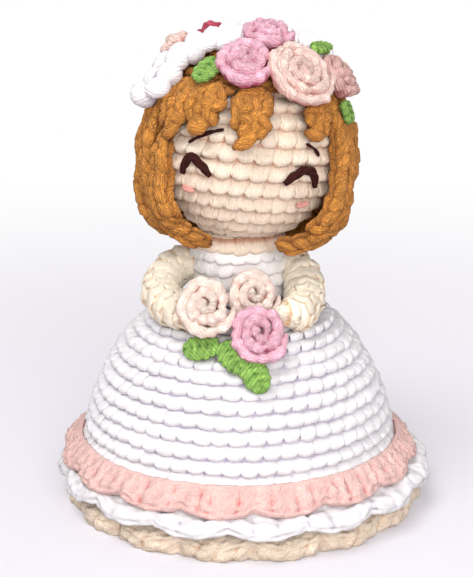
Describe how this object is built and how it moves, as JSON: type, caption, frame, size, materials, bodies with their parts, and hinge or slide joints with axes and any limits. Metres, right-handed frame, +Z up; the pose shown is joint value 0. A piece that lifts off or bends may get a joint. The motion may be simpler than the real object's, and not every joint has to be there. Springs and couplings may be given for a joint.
{
  "type": "crocheted bride doll",
  "caption": "Crocheted doll in a white bell skirt with frills, holding a bouquet of roses, with brown hair and a flower headband.",
  "frame": {"origin": "middle of the underside of the base disc", "axes": "+Z up through the skirt, -Y the way the face looks, +X to the doll's left hand, which is the right of the picture"},
  "size_m": [0.1036, 0.1036, 0.1307],
  "materials": {
    "white_yarn": "white cotton yarn, crocheted, matte",
    "pink_yarn": "pale pink cotton yarn, crocheted, matte",
    "cream_yarn": "cream cotton yarn, crocheted, matte",
    "skin_yarn": "cream-peach cotton yarn, crocheted, matte",
    "hair_yarn": "golden brown cotton yarn, crocheted, slight sheen",
    "rose_pink": "pink cotton yarn, crocheted, matte",
    "rose_peach": "peach cotton yarn, crocheted, matte",
    "rose_salmon": "salmon cotton yarn, crocheted, matte",
    "bud_red": "red cotton yarn, crocheted, matte",
    "leaf_green": "green cotton yarn, crocheted, matte",
    "thread_brown": "dark brown embroidery cotton, matte",
    "blush_pink": "pink embroidery cotton, matte",
    "filling_white": "white polyester fibre filling",
    "card_grey": "grey board, matte"
  },
  "bodies": {
    "body": {"base_disc": "white_yarn", "base_insert": "card_grey", "skirt": "white_yarn", "skirt_stuffing": "filling_white", "frill_pink": "pink_yarn", "frill_white": "white_yarn", "frill_cream": "cream_yarn", "bodice": "white_yarn", "bodice_stuffing": "filling_white", "neck": "skin_yarn"},
    "head": {"head": "skin_yarn", "head_stuffing": "filling_white", "hair_cap": "hair_yarn", "hair_strand_01": "hair_yarn", "hair_strand_02": "hair_yarn", "hair_strand_03": "hair_yarn", "hair_strand_04": "hair_yarn", "hair_strand_05": "hair_yarn", "hair_strand_06": "hair_yarn", "hair_strand_07": "hair_yarn", "hair_strand_08": "hair_yarn", "hair_strand_09": "hair_yarn", "hair_strand_10": "hair_yarn", "hair_strand_11": "hair_yarn", "hair_strand_12": "hair_yarn", "hair_strand_13": "hair_yarn", "hair_strand_14": "hair_yarn", "hair_strand_15": "hair_yarn", "hair_strand_16": "hair_yarn", "hair_strand_17": "hair_yarn", "bang_outer_left": "hair_yarn", "bang_left": "hair_yarn", "bang_inner_left": "hair_yarn", "bang_middle": "hair_yarn", "bang_right": "hair_yarn", "eye_left": "thread_brown", "eye_right": "thread_brown", "brow_left": "thread_brown", "brow_right": "thread_brown", "cheek_left": "blush_pink", "cheek_right": "blush_pink", "headband": "white_yarn", "head_rose_pink": "rose_pink", "head_rose_peach": "rose_peach", "head_rose_salmon": "rose_salmon", "head_rose_back_pink": "rose_pink", "head_rose_small": "rose_peach", "head_bud": "bud_red", "head_leaf_left": "leaf_green", "head_leaf_back": "leaf_green", "head_leaf_right": "leaf_green"},
    "left_arm": {"arm_left": "skin_yarn", "bouquet_rose_left": "rose_peach", "bouquet_rose_top": "rose_peach", "bouquet_rose_front": "rose_pink", "bouquet_leaf_left": "leaf_green", "bouquet_leaf_middle": "leaf_green", "bouquet_leaf_front": "leaf_green"},
    "right_arm": {"arm_right": "skin_yarn"}
  },
  "joints": [
    {"name": "head_turn", "type": "hinge", "parent": "body", "child": "head", "pos_m": [0, 0, 0.0725], "axis": [0.0958, 0, 0.9954], "range_deg": [-12, 12], "stiffness_Nm_per_rad": 0.02},
    {"name": "left_arm_lift", "type": "hinge", "parent": "body", "child": "left_arm", "pos_m": [-0.0135, 0, 0.065], "axis": [-1, 0, 0], "range_deg": [0, 15]},
    {"name": "right_arm_lift", "type": "hinge", "parent": "body", "child": "right_arm", "pos_m": [0.0135, 0, 0.065], "axis": [-1, 0, 0], "range_deg": [0, 15]}
  ],
  "couplings": [
    {"joint": "right_arm_lift", "follows": "left_arm_lift", "ratio": 1}
  ]
}
